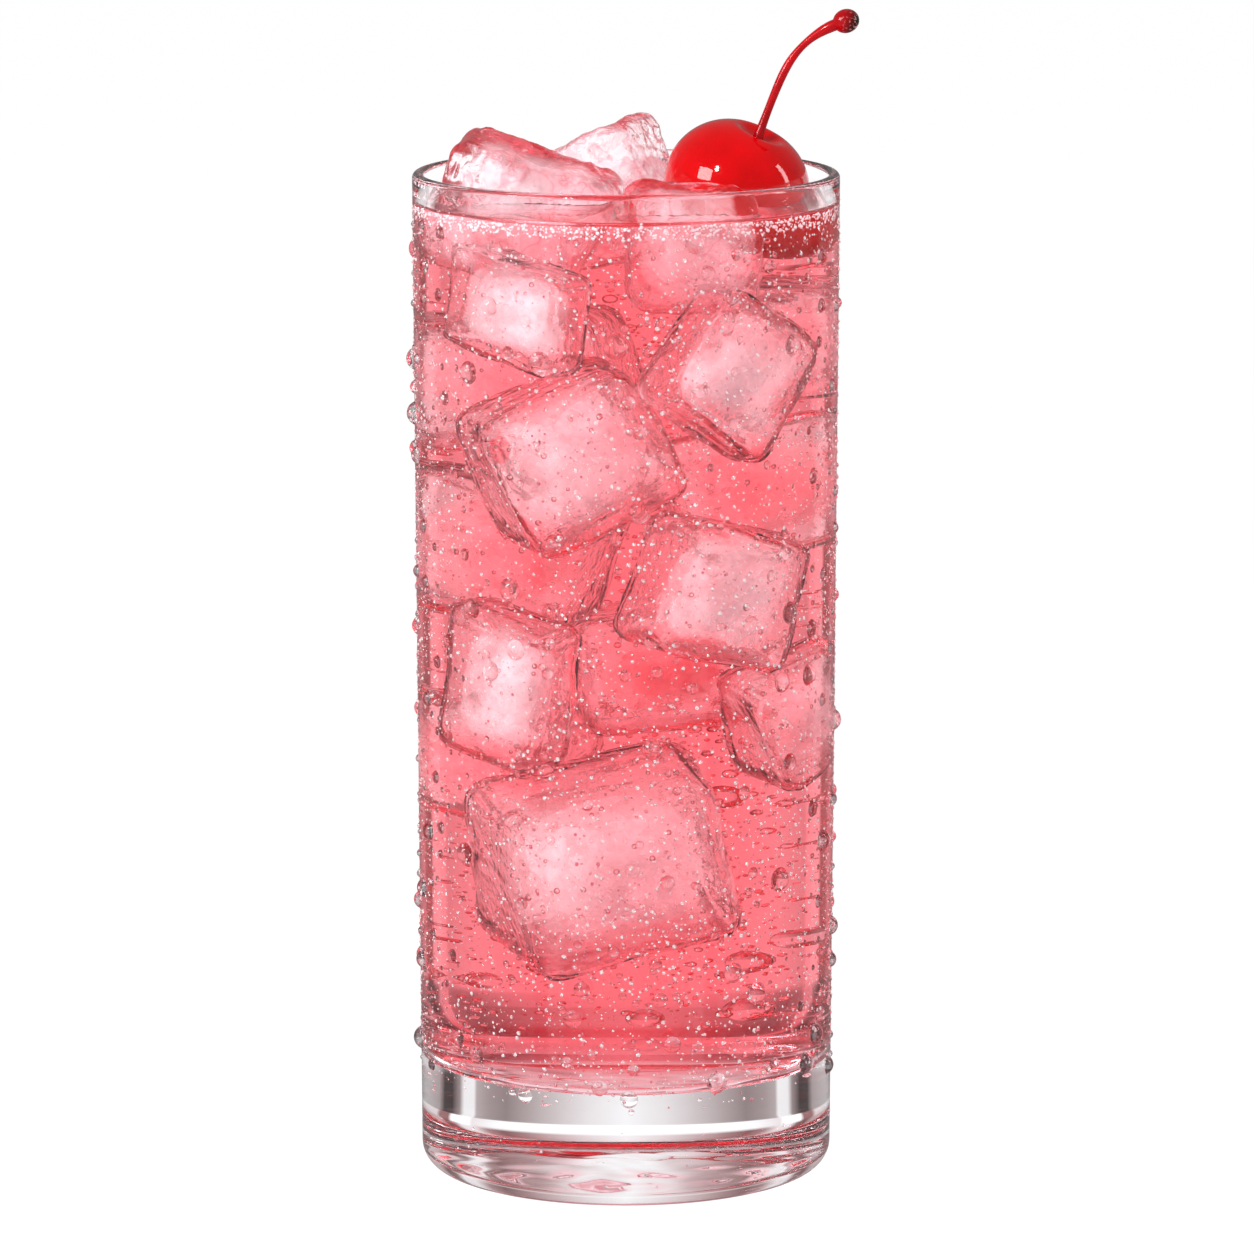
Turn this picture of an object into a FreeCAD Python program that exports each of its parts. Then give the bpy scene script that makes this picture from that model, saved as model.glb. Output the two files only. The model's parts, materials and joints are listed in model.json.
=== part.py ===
"""A pink collins in its tall glass, with floating ice and a cocktail cherry on its stalk.

The glass is one revolved solid: a thick base with a shallow hollow under it, a wall that widens
a little towards a fire-polished lip, and a plain bore.  The drink fills the bore up to its level
and climbs the wall in a small meniscus.  Three tray-made ice blocks break the surface, and the
cherry floats half sunk beside them, with its stalk bending out over the rim.

Units are millimetres and degrees.  The origin is the middle of the foot, +Z is up, and -Y is
the side that faces the drinker.
"""

import FreeCAD, Part
import math
import os

import Sketcher
from FreeCAD import Placement, Rotation, Vector

# ---------------------------------------------------------------- driving dimensions

GLASS = {
    "glass_height": 152.0,      # foot to the top of the lip
    "rim_radius": 32.0,         # outside, at the lip
    "base_radius": 31.1,        # outside, above the heel
    "rim_wall": 1.8,            # glass at the lip
    "base_wall": 2.3,           # glass beside the foot of the bore
    "base_thickness": 17.0,     # solid glass under the bore
    "bore_corner": 4.0,         # rounding inside, between wall and floor
    "heel_corner": 3.8,         # rounding outside, under the wall
    "foot_ring": 3.8,           # flat ring that the glass stands on
    "hollow_depth": 1.6,        # of the shallow hollow inside that ring
}

DRINK = {
    "headspace": 5.0,           # lip down to the surface
    "meniscus_radius": 3.0,     # curve of the surface against the wall
    "meniscus_width": 1.5,      # how far from the wall that curve starts
}

ICE = {
    "ice_melt": 2.9,            # rounding of a melting block's edges
    "ice_draft": 5.0,           # slope of the sides that lets a block out of its tray
    "ice_dent_radius": 21.0,    # ball that hollows the upper face
    "ice_dent_depth": 0.9,
    "ice_clearance": 0.3,       # a block melts back at least this far from the cherry
}

# Each block: its size, the bearing of its middle from the glass's axis (0 is +X, 90 is +Y), how
# far its middle lies inside the bore's wall, how far its top face stands out of the drink at the
# middle, and how it lies: turned about the vertical, then leaning to the right and to the front.
BLOCK_FIELDS = ("width", "depth", "tall", "bearing", "inset", "out", "turn", "lean", "nod")
BLOCKS = {
    "ice_left": (26.0, 16.5, 18.0, 197.0, 17.2, 7.6, -9.0, 18.0, 8.0),
    "ice_back": (16.5, 17.0, 18.5, 109.0, 13.6, 8.9, -31.0, -24.0, -9.0),
    "ice_front": (19.5, 12.5, 18.0, 303.0, 12.6, 4.3, 7.0, 4.0, 7.0),
}

CHERRY = {
    "cherry_radius": 11.1,          # at the waist
    "cherry_flank": 9.4,            # curve of the side
    "cherry_bottom": 15.0,          # flatter curve of the blossom end
    "cherry_dimple": 5.4,           # ball that hollows the stalk end
    "cherry_dimple_floor": 7.8,     # waist up to the bottom of the dimple
    "cherry_shoulder": 2.0,         # rounding between side and dimple
    "cherry_bearing": 15.5,
    "cherry_wall_gap": 1.8,         # waist to the bore
    "cherry_rise": 2.2,             # waist above the surface
    "cherry_lean": 23.0,
    "cherry_nod": 9.0,
}

STALK = {
    "stalk_foot_radius": 1.1,      # flare where it joins the fruit
    "stalk_radius": 0.62,           # thinnest
    "stalk_neck_radius": 0.85,      # below the knob
    "stalk_knob_radius": 1.8,      # end that held on to the twig
    "stalk_knob_half": 2.0,
    "stalk_slope": 73.0,            # rise of the stalk at the fruit
    "stalk_gentle_radius": 78.0,    # lower, gentler bend
    "stalk_gentle_turn": 8.0,
    "stalk_tight_radius": 14.0,     # upper, tighter bend
    "stalk_tight_turn": 46.0,
}

# Sections of the stalk: each one's share of the length above the fruit, and its radius.
STALK_SECTIONS = [
    (0.16, "stalk_radius"), (0.35, "stalk_radius"), (0.6, "stalk_radius"),
    (0.8, "stalk_radius"), (0.93, "stalk_neck_radius"), (1.0, "stalk_neck_radius"),
]
STALK_ROOT = 1.6                    # length of stalk modelled inside the fruit, then cut away
KNOB_SEAT = 0.6                     # how far out the knob sits on the stalk, in its half lengths
LIP_SHARE = 0.47                    # rounding of each edge of the lip, as a share of the wall


def named_sizes():
    """Every size's name and value, in the order of the sheet's rows."""
    for group in (GLASS, DRINK, ICE, CHERRY, STALK):
        yield from group.items()
    for block, values in BLOCKS.items():
        for field, value in zip(BLOCK_FIELDS, values):
            yield f"{block}_{field}", value


doc = FreeCAD.newDocument("PinkCollins")
sheet = doc.addObject("Spreadsheet::Sheet", "Sizes")
for row, (alias, value) in enumerate(named_sizes(), start=1):
    sheet.set(f"A{row}", alias)
    sheet.set(f"B{row}", str(value))
    sheet.setAlias(f"B{row}", alias)
doc.recompute()


def size(alias):
    """The number in a named cell."""
    return float(getattr(sheet, alias))


# ---------------------------------------------------------------- helpers

def new_body(label):
    body = doc.addObject("PartDesign::Body", label + "_body")
    body.Label = label
    return body


def origin_plane(body, role):
    return next(plane for plane in body.Origin.OriginFeatures if plane.Role == role)


def new_sketch(body, role, name):
    """An empty sketch on one of the body's own origin planes."""
    sketch = body.newObject("Sketcher::SketchObject", name)
    sketch.AttachmentSupport = [(origin_plane(body, role), "")]
    sketch.MapMode = "FlatFace"
    return sketch


def line(start, end):
    return Part.LineSegment(Vector(*start, 0), Vector(*end, 0))


def arc(centre, radius, start, end):
    """An anticlockwise arc between two directions in degrees."""
    circle = Part.Circle(Vector(*centre, 0), Vector(0, 0, 1), radius)
    return Part.ArcOfCircle(circle, math.radians(start), math.radians(end))


def direction(centre, point):
    """The direction from one point to another, in degrees."""
    return math.degrees(math.atan2(point[1] - centre[1], point[0] - centre[0]))


START, END, MIDDLE = 1, 2, 3        # Sketcher's numbers for the points of an edge
ORIGIN = (-1, START)
X_AXIS, Y_AXIS = -1, -2


def close_outline(sketch, edges):
    """Adds edges in order round an outline and joins them end to end.

    Each edge is (geometry, drawn_backwards, runs_smoothly_into_the_next).
    """
    sketch.addGeometry([geometry for geometry, _, _ in edges], False)
    for index, (_, backwards, smooth) in enumerate(edges):
        following = (index + 1) % len(edges)
        leaves_at = START if backwards else END
        enters_at = END if edges[following][1] else START
        kind = "Tangent" if smooth else "Coincident"
        sketch.addConstraint(Sketcher.Constraint(kind, index, leaves_at, following, enters_at))


def measure(sketch, kind, places, expression, value):
    """A dimension in a sketch, tied to the sheet."""
    index = sketch.addConstraint(Sketcher.Constraint(kind, *places, value))
    sketch.setExpression(f"Constraints[{index}]", expression)


def across(sketch, place, expression, value):
    """Distance of a point from the sketch's vertical axis."""
    measure(sketch, "DistanceX", (*ORIGIN, *place), expression, value)


def up(sketch, place, expression, value):
    """Height of a point above the sketch's horizontal axis."""
    measure(sketch, "DistanceY", (*ORIGIN, *place), expression, value)


def on_axis(sketch, place, axis=Y_AXIS):
    sketch.addConstraint(Sketcher.Constraint("PointOnObject", *place, axis))


def flat(sketch, edge):
    sketch.addConstraint(Sketcher.Constraint("Horizontal", edge))


def turned(body, kind, sketch, name):
    """A Revolution or a Groove of a sketch about the glass's or the fruit's axis."""
    feature = body.newObject(f"PartDesign::{kind}", name)
    feature.Profile = sketch
    feature.ReferenceAxis = (sketch, ["V_Axis"])
    feature.Angle = 360.0
    doc.recompute()
    return feature


# ---------------------------------------------------------------- the glass

def glass_outside(body):
    """Half outline of the blank: hollow, foot, heel, wall and flat top."""
    top, rim, base = size("glass_height"), size("rim_radius"), size("base_radius")
    heel, depth = size("heel_corner"), size("hollow_depth")
    hollow = base - heel - size("foot_ring")
    hollow_curve = (hollow ** 2 + depth ** 2) / (2 * depth)
    hollow_centre = (0.0, depth - hollow_curve)
    sketch = new_sketch(body, "XZ_Plane", "GlassOutside")
    close_outline(sketch, [
        (arc(hollow_centre, hollow_curve, direction(hollow_centre, (hollow, 0)), 90), True, False),
        (line((hollow, 0), (base - heel, 0)), False, True),
        (arc((base - heel, heel), heel, -90, 0), False, True),
        (line((base, heel), (rim, top)), False, False),
        (line((rim, top), (0, top)), False, False),
        (line((0, top), (0, depth)), False, False),
    ])
    on_axis(sketch, (0, MIDDLE))
    on_axis(sketch, (0, END))
    on_axis(sketch, (0, START), X_AXIS)
    on_axis(sketch, (1, END), X_AXIS)
    on_axis(sketch, (4, END))
    flat(sketch, 4)
    up(sketch, (0, END), "Sizes.hollow_depth", depth)
    across(sketch, (0, START), "Sizes.base_radius - Sizes.heel_corner - Sizes.foot_ring", hollow)
    measure(sketch, "Radius", (2,), "Sizes.heel_corner", heel)
    across(sketch, (3, START), "Sizes.base_radius", base)
    across(sketch, (3, END), "Sizes.rim_radius", rim)
    up(sketch, (3, END), "Sizes.glass_height", top)
    return sketch


def bore_outline(body):
    """Half outline of the space inside the glass, from its floor up to the lip."""
    top, floor, corner = size("glass_height"), size("base_thickness"), size("bore_corner")
    mouth = size("rim_radius") - size("rim_wall")
    foot = size("base_radius") - size("base_wall")
    sketch = new_sketch(body, "XZ_Plane", "Bore")
    close_outline(sketch, [
        (line((0, floor), (foot - corner, floor)), False, True),
        (arc((foot - corner, floor + corner), corner, -90, 0), False, True),
        (line((foot, floor + corner), (mouth, top)), False, False),
        (line((mouth, top), (0, top)), False, False),
        (line((0, top), (0, floor)), False, False),
    ])
    on_axis(sketch, (0, START))
    on_axis(sketch, (3, END))
    flat(sketch, 0)
    flat(sketch, 3)
    up(sketch, (0, START), "Sizes.base_thickness", floor)
    measure(sketch, "Radius", (1,), "Sizes.bore_corner", corner)
    across(sketch, (2, START), "Sizes.base_radius - Sizes.base_wall", foot)
    across(sketch, (2, END), "Sizes.rim_radius - Sizes.rim_wall", mouth)
    up(sketch, (2, END), "Sizes.glass_height", top)
    return sketch


def circles_at(shape, height):
    """Names of the circular edges that lie at one height."""
    return [
        f"Edge{number}"
        for number, edge in enumerate(shape.Edges, start=1)
        if edge.Closed and abs(edge.BoundBox.ZMin - height) < 1e-6
        and abs(edge.BoundBox.ZMax - height) < 1e-6
    ]


def make_glass():
    body = new_body("glass")
    turned(body, "Revolution", glass_outside(body), "Blank")
    bored = turned(body, "Groove", bore_outline(body), "BoreCut")
    lip = body.newObject("PartDesign::Fillet", "Lip")
    lip.Base = (bored, circles_at(bored.Shape, size("glass_height")))
    lip.setExpression("Radius", f"Sizes.rim_wall * {LIP_SHARE}")
    body.Tip = lip
    doc.recompute()
    return body


# ---------------------------------------------------------------- the ice

def drink_level():
    return size("glass_height") - size("headspace")


def mouth_radius():
    return size("rim_radius") - size("rim_wall")


def make_ice(label):
    """A tray-made block: narrower at its lower end, with melted edges and a dented top."""
    width, depth = size(f"{label}_width"), size(f"{label}_depth")
    body = new_body(f"{label}_block")
    sketch = new_sketch(body, "XY_Plane", label.title() + "Top")
    corners = [(-width / 2, -depth / 2), (width / 2, -depth / 2),
               (width / 2, depth / 2), (-width / 2, depth / 2)]
    close_outline(sketch, [
        (line(corners[side], corners[(side + 1) % 4]), False, False) for side in range(4)
    ])
    for side, kind in enumerate(("Horizontal", "Vertical", "Horizontal", "Vertical")):
        sketch.addConstraint(Sketcher.Constraint(kind, side))
    sketch.addConstraint(Sketcher.Constraint("Symmetric", 0, START, 2, START, *ORIGIN))
    measure(sketch, "DistanceX", (0, START, 0, END), f"Sizes.{label}_width", width)
    measure(sketch, "DistanceY", (1, START, 1, END), f"Sizes.{label}_depth", depth)

    block = body.newObject("PartDesign::Pad", label.title() + "Block")
    block.Profile = sketch
    block.Reversed = True
    block.setExpression("Length", f"Sizes.{label}_tall")
    block.setExpression("TaperAngle", "-Sizes.ice_draft")
    doc.recompute()

    melted = body.newObject("PartDesign::Fillet", label.title() + "Melted")
    melted.Base = (block, [f"Edge{number + 1}" for number in range(len(block.Shape.Edges))])
    melted.setExpression("Radius", "Sizes.ice_melt")
    doc.recompute()

    dent = body.newObject("PartDesign::SubtractiveSphere", label.title() + "Dent")
    dent.AttachmentSupport = [(origin_plane(body, "XY_Plane"), "")]
    dent.MapMode = "FlatFace"
    dent.setExpression("Radius", "Sizes.ice_dent_radius")
    dent.setExpression("AttachmentOffset.Base.z", "Sizes.ice_dent_radius - Sizes.ice_dent_depth")
    body.Tip = dent

    reach = mouth_radius() - size(f"{label}_inset")
    bearing = math.radians(size(f"{label}_bearing"))
    place = Vector(reach * math.cos(bearing), reach * math.sin(bearing),
                   drink_level() + size(f"{label}_out"))
    body.Placement = Placement(place, lying(label))

    room = doc.addObject("Part::Sphere", label.title() + "CherryRoom")
    room.setExpression("Radius", "Sizes.cherry_radius + Sizes.ice_clearance")
    room.Placement = Placement(cherry_middle(), Rotation())
    ice = doc.addObject("Part::Cut", label.title() + "Clear")
    ice.Label = label
    ice.Base = body
    ice.Tool = room
    doc.recompute()
    return ice


def lying(label):
    """Turned about the vertical, then leaning to the right and nodding to the front."""
    return (Rotation(Vector(1, 0, 0), size(f"{label}_nod"))
            * Rotation(Vector(0, 1, 0), size(f"{label}_lean"))
            * Rotation(Vector(0, 0, 1), size(f"{label}_turn")))


# ---------------------------------------------------------------- the cherry and its stalk

def cherry_outline(body):
    """Half outline of the fruit: blossom end, flank, shoulder and dimple, all running smoothly."""
    waist, flank, bottom = size("cherry_radius"), size("cherry_flank"), size("cherry_bottom")
    dimple, shoulder = size("cherry_dimple"), size("cherry_shoulder")
    flank_x = waist - flank
    bottom_z = math.sqrt((bottom - flank) ** 2 - flank_x ** 2)
    dimple_z = size("cherry_dimple_floor") + dimple
    shoulder_centre = where_circles_cross(
        (flank_x, 0), flank - shoulder, (0, dimple_z), dimple + shoulder)

    low = direction((0, bottom_z), (flank_x, 0))
    high = direction((flank_x, 0), shoulder_centre)
    inner = direction(shoulder_centre, (0, dimple_z))
    sketch = new_sketch(body, "XZ_Plane", "CherryHalf")
    close_outline(sketch, [
        (arc((0, bottom_z), bottom, -90, low), False, True),
        (arc((flank_x, 0), flank, low, high), False, True),
        (arc(shoulder_centre, shoulder, high, inner), False, True),
        (arc((0, dimple_z), dimple, -90, inner - 180), True, False),
        (line((0, dimple_z - dimple), (0, bottom_z - bottom)), False, False),
    ])
    for edge in (0, 3):
        on_axis(sketch, (edge, MIDDLE))
        on_axis(sketch, (edge, START))
    on_axis(sketch, (1, MIDDLE), X_AXIS)
    across(sketch, (1, MIDDLE), "Sizes.cherry_radius - Sizes.cherry_flank", flank_x)
    measure(sketch, "Radius", (0,), "Sizes.cherry_bottom", bottom)
    measure(sketch, "Radius", (1,), "Sizes.cherry_flank", flank)
    measure(sketch, "Radius", (2,), "Sizes.cherry_shoulder", shoulder)
    measure(sketch, "Radius", (3,), "Sizes.cherry_dimple", dimple)
    up(sketch, (3, START), "Sizes.cherry_dimple_floor", size("cherry_dimple_floor"))
    return sketch


def where_circles_cross(centre_a, radius_a, centre_b, radius_b):
    """The crossing of two circles that lies on the outer side."""
    dx, dz = centre_b[0] - centre_a[0], centre_b[1] - centre_a[1]
    apart = math.hypot(dx, dz)
    along = (radius_a ** 2 - radius_b ** 2 + apart ** 2) / (2 * apart)
    aside = math.sqrt(radius_a ** 2 - along ** 2)
    return (centre_a[0] + (along * dx + aside * dz) / apart,
            centre_a[1] + (along * dz - aside * dx) / apart)


def cherry_middle():
    reach = mouth_radius() - size("cherry_radius") - size("cherry_wall_gap")
    bearing = math.radians(size("cherry_bearing"))
    return Vector(reach * math.cos(bearing), reach * math.sin(bearing),
                  drink_level() + size("cherry_rise"))


def cherry_rotation():
    return (Rotation(Vector(1, 0, 0), size("cherry_nod"))
            * Rotation(Vector(0, 1, 0), size("cherry_lean")))


def make_cherry():
    body = new_body("cherry")
    turned(body, "Revolution", cherry_outline(body), "Fruit")
    body.Placement = Placement(cherry_middle(), cherry_rotation())
    doc.recompute()
    return body


def stalk_point(share):
    """Where the stalk's centre line is, and its rise in degrees, at a share of its length.

    The line lies in a plane of its own, x to the side and z up, and starts at the dimple.  It is
    two arcs that meet smoothly: a gentle one and then a tight one.
    """
    gentle, tight = size("stalk_gentle_radius"), size("stalk_tight_radius")
    first = math.radians(size("stalk_gentle_turn")) * gentle
    second = math.radians(size("stalk_tight_turn")) * tight
    length = share * (first + second)
    slope = size("stalk_slope")
    x, z = 0.0, 0.0
    for radius, part in ((gentle, min(length, first)), (tight, max(length - first, 0.0))):
        turn = math.degrees(part / radius)
        x += radius * (sine(slope) - sine(slope - turn))
        z += radius * (cosine(slope - turn) - cosine(slope))
        slope -= turn
    return x, z, slope


def sine(angle):
    return math.sin(math.radians(angle))


def cosine(angle):
    return math.cos(math.radians(angle))


def across_stalk(x, z, slope):
    """The place of a section: its plane stands square to the centre line."""
    return Placement(Vector(x, 0, z), Rotation(Vector(0, 1, 0), 90 - slope))


def stalk_section(body, name, place, alias):
    """A round section of the stalk."""
    sketch = new_sketch(body, "XY_Plane", name)
    sketch.AttachmentOffset = place
    sketch.addGeometry(Part.Circle(Vector(0, 0, 0), Vector(0, 0, 1), size(alias)), False)
    sketch.addConstraint(Sketcher.Constraint("Coincident", 0, MIDDLE, *ORIGIN))
    measure(sketch, "Radius", (0,), f"Sizes.{alias}", size(alias))
    return sketch


def make_stalk(cherry):
    """The stalk is lofted along its bend, with its knob on the end, and cut to the fruit."""
    body = new_body("stalk_whole")
    slope = size("stalk_slope")
    root = across_stalk(-STALK_ROOT * cosine(slope), -STALK_ROOT * sine(slope), slope)
    sections = [stalk_section(body, "StalkRoot", root, "stalk_foot_radius")]
    for number, (share, alias) in enumerate(STALK_SECTIONS):
        place = across_stalk(*stalk_point(share))
        sections.append(stalk_section(body, f"StalkSection{number}", place, alias))
    loft = body.newObject("PartDesign::AdditiveLoft", "StalkLoft")
    loft.Profile = sections[0]
    loft.Sections = sections[1:]
    loft.Ruled = False
    doc.recompute()

    x, z, slope = stalk_point(1.0)
    reach = size("stalk_knob_half") * KNOB_SEAT
    knob = body.newObject("PartDesign::AdditiveEllipsoid", "StalkKnob")
    knob.AttachmentSupport = [(origin_plane(body, "XY_Plane"), "")]
    knob.MapMode = "FlatFace"
    knob.AttachmentOffset = across_stalk(x + reach * cosine(slope), z + reach * sine(slope), slope)
    knob.setExpression("Radius1", "Sizes.stalk_knob_half")
    knob.setExpression("Radius2", "Sizes.stalk_knob_radius")
    knob.setExpression("Radius3", "Sizes.stalk_knob_radius")
    body.Tip = knob

    foot = cherry_rotation().multVec(Vector(0, 0, size("cherry_dimple_floor")))
    body.Placement = Placement(cherry_middle() + foot, Rotation())
    doc.recompute()

    stalk = doc.addObject("Part::Cut", "StalkOnCherry")
    stalk.Label = "cherry_stem"
    stalk.Base = body
    stalk.Tool = cherry
    doc.recompute()
    return stalk


# ---------------------------------------------------------------- the drink

def headspace_outline(body):
    """Half outline of the air above the drink, down to its curved edge at the wall."""
    level, top = drink_level(), size("glass_height")
    curve, width = size("meniscus_radius"), size("meniscus_width")
    start = mouth_radius() - width
    beyond = (width + curve) / 2                # the curve runs on into the wall, to be clean
    height = curve - math.sqrt(curve ** 2 - beyond ** 2)
    centre = (start, level + curve)
    edge = (start + beyond, level + height)
    sketch = new_sketch(body, "XZ_Plane", "Headspace")
    close_outline(sketch, [
        (line((0, level), (start, level)), False, True),
        (arc(centre, curve, -90, direction(centre, edge)), False, False),
        (line(edge, (edge[0], top)), False, False),
        (line((edge[0], top), (0, top)), False, False),
        (line((0, top), (0, level)), False, False),
    ])
    on_axis(sketch, (0, START))
    on_axis(sketch, (3, END))
    flat(sketch, 0)
    flat(sketch, 3)
    sketch.addConstraint(Sketcher.Constraint("Vertical", 2))
    up(sketch, (0, START), "Sizes.glass_height - Sizes.headspace", level)
    up(sketch, (2, END), "Sizes.glass_height", top)
    measure(sketch, "Radius", (1,), "Sizes.meniscus_radius", curve)
    across(sketch, (0, END), "Sizes.rim_radius - Sizes.rim_wall - Sizes.meniscus_width", start)
    measure(sketch, "DistanceX", (0, END, 1, END),
            "(Sizes.meniscus_width + Sizes.meniscus_radius) / 2", beyond)
    return sketch


def make_drink(floating):
    """The drink fills the bore to its level, round what floats in it."""
    body = new_body("drink_whole")
    turned(body, "Revolution", bore_outline(body), "Fill")
    body.Tip = turned(body, "Groove", headspace_outline(body), "Surface")
    doc.recompute()
    garnish = doc.addObject("Part::MultiFuse", "Garnish")
    garnish.Shapes = floating
    drink = doc.addObject("Part::Cut", "DrinkRoundGarnish")
    drink.Label = "drink"
    drink.Base = body
    drink.Tool = garnish
    doc.recompute()
    return drink


# ---------------------------------------------------------------- build, check and write

def check_document(nodes):
    """Stops if an object failed, or if a node's shape is missing or broken."""
    for thing in doc.Objects:
        if "Invalid" in thing.State or "Error" in thing.State:
            raise RuntimeError(f"{thing.Label} failed: {thing.State}")
    for node in nodes:
        shape = node.Shape
        if shape.isNull() or not shape.isValid() or len(shape.Solids) != 1:
            raise RuntimeError(f"{node.Label} has no single valid solid")


def main():
    glass = make_glass()
    blocks = [make_ice(label) for label in BLOCKS]
    cherry = make_cherry()
    stem = make_stalk(cherry)
    drink = make_drink(blocks + [cherry])
    nodes = [glass, drink, *blocks, cherry, stem]
    doc.recompute()
    check_document(nodes)
    os.makedirs("parts", exist_ok=True)
    for node in nodes:
        node.Shape.exportStep(f"parts/{node.Label}.step")
        box = node.Shape.BoundBox
        print(f"{node.Label}: {node.Shape.Volume:.1f} mm3, "
              f"x {box.XMin:.2f} {box.XMax:.2f}, y {box.YMin:.2f} {box.YMax:.2f}, "
              f"z {box.ZMin:.2f} {box.ZMax:.2f}")


main()
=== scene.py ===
import json
import math

import bmesh
import bpy
from mathutils import Matrix, Vector, noise
from mathutils.bvhtree import BVHTree

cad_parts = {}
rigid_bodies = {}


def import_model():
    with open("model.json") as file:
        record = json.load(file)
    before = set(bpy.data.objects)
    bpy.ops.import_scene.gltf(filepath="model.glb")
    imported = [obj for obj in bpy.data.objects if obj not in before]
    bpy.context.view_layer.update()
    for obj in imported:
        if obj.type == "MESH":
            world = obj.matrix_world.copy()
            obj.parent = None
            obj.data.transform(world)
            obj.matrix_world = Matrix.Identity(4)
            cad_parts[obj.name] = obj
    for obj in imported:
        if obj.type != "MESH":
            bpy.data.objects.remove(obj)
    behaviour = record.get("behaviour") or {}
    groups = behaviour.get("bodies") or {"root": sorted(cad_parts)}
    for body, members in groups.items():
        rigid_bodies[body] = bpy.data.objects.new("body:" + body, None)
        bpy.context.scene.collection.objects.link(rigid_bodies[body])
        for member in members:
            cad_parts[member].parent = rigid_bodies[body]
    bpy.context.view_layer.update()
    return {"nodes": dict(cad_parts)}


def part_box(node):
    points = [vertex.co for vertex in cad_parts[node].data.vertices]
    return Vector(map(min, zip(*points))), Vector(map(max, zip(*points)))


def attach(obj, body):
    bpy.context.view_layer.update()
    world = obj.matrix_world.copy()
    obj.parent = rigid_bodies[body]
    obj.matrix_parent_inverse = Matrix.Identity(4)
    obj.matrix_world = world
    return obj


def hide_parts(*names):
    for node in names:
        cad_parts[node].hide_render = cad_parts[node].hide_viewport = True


for leftover in list(bpy.data.objects):
    bpy.data.objects.remove(leftover)
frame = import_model()
scene = bpy.context.scene


# ------------------------------------------------------------------------------ camera
# A long lens a little over a metre away, looking slightly down on the rim, as a drink is
# usually seen by someone who is about to pick it up.

CAMERA_DISTANCE = 1.109
CAMERA_HEIGHT = 0.276
CAMERA_PITCH = math.radians(9.88)
CAMERA_ASIDE = 0.00015
LENS = 213.9

camera = bpy.data.objects.new("camera", bpy.data.cameras.new("camera"))
camera.data.lens = LENS
camera.data.sensor_width = 36.0
camera.data.clip_end = 50.0
camera.location = (CAMERA_ASIDE, -CAMERA_DISTANCE, CAMERA_HEIGHT)
camera.rotation_euler = (math.pi / 2 - CAMERA_PITCH, 0.0, 0.0)
scene.collection.objects.link(camera)
scene.camera = camera


# ------------------------------------------------------------------------------ studio
# A white sweep lit from behind, with a bright strip and a dark card at each side of it, which is
# how clear glass gets its edges.  A soft box hangs at the upper left with a small bright lamp
# beside it, which puts the sparkle on wet things, and a strip lamp stands at the right.

# Brightness seen through the glass, by degrees from straight behind it or straight before it:
# of the pale table below the horizon, and of the screen above it, which is darker at its sides.
TABLE_GREYS = (
    (0, 1.15), (14, 1.12), (27, 1.05), (36, 0.90), (38, 1.25),
    (46, 1.25), (48, 0.34), (54, 0.34), (57, 0.85), (90, 1.1),
)
SCREEN_GREYS = (
    (0, 0.97), (7, 0.82), (14, 0.60), (20, 0.40), (26, 0.24), (31, 0.40),
    (36, 0.90), (41, 0.92), (45, 0.26), (50, 0.16), (56, 0.60), (90, 0.9),
)
TABLE_PAINTED_REDDENING = 0.85              # painted glow: how much the drink's pink is painted into their dark greys
# the same painted pink glow on the screen's dark greys
SCREEN_PAINTED_REDDENING = 0.62
HORIZON = (0.02, 0.10)          # rise of a ray over which the table gives way to the screen
STEEP = (0.38, 0.75)            # steepness over which both give way to the colour overhead
OVERHEAD = (1.0, 0.66, 0.71)
MIRRORED = 0.22                 # brightness that a shiny surface mirrors
AMBIENT = 0.60                  # brightness that lights matt surfaces


def link(tree, source, target):
    tree.links.new(source, target)


def math_node(tree, operation, first, second=None):
    """A Math node on sockets or plain numbers; returns its result."""
    node = tree.nodes.new("ShaderNodeMath")
    node.operation = operation
    for socket, value in zip(node.inputs, (first, second)):
        if value is None:
            continue
        if isinstance(value, (int, float)):
            socket.default_value = value
        else:
            link(tree, value, socket)
    return node.outputs[0]


def coordinates(tree, kind):
    """The X, Y and Z of a kind of texture coordinates."""
    coords = tree.nodes.new("ShaderNodeTexCoord")
    split = tree.nodes.new("ShaderNodeSeparateXYZ")
    link(tree, coords.outputs[kind], split.inputs[0])
    return split.outputs


def mapped(tree, source, start, stop):
    """A Map Range node: how far a value has come from one number to another, as 0 to 1."""
    node = tree.nodes.new("ShaderNodeMapRange")
    link(tree, source, node.inputs["Value"])
    node.inputs["From Min"].default_value = start
    node.inputs["From Max"].default_value = stop
    return node


def mixed(tree, factor, first, second):
    """A colour mixed from two; a plain number stands for a grey."""
    node = tree.nodes.new("ShaderNodeMix")
    node.data_type = "RGBA"
    link(tree, factor, node.inputs["Factor"])
    for name, value in (("A", first), ("B", second)):
        if isinstance(value, (int, float)):
            node.inputs[name].default_value = (value, value, value, 1)
        elif isinstance(value, tuple):
            node.inputs[name].default_value = (*value, 1)
        else:
            link(tree, value, node.inputs[name])
    return node.outputs["Result"]


def grey_ramp(tree, share, greys, painted_reddening):
    """A colour ramp over 90 degrees; the darker its greys, the more a painted pink glow of the
    drink reddens them.
    """
    ramp = tree.nodes.new("ShaderNodeValToRGB")
    link(tree, share, ramp.inputs["Fac"])
    stops = ramp.color_ramp.elements
    for index, (degrees, level) in enumerate(greys):
        stop = stops[index] if index < 2 else stops.new(degrees / 90)
        stop.position = degrees / 90
        cool = level * (1 - painted_reddening * max(1 - level, 0))
        stop.color = (level, cool, cool * 1.02, 1)
    return ramp.outputs["Color"]


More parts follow.
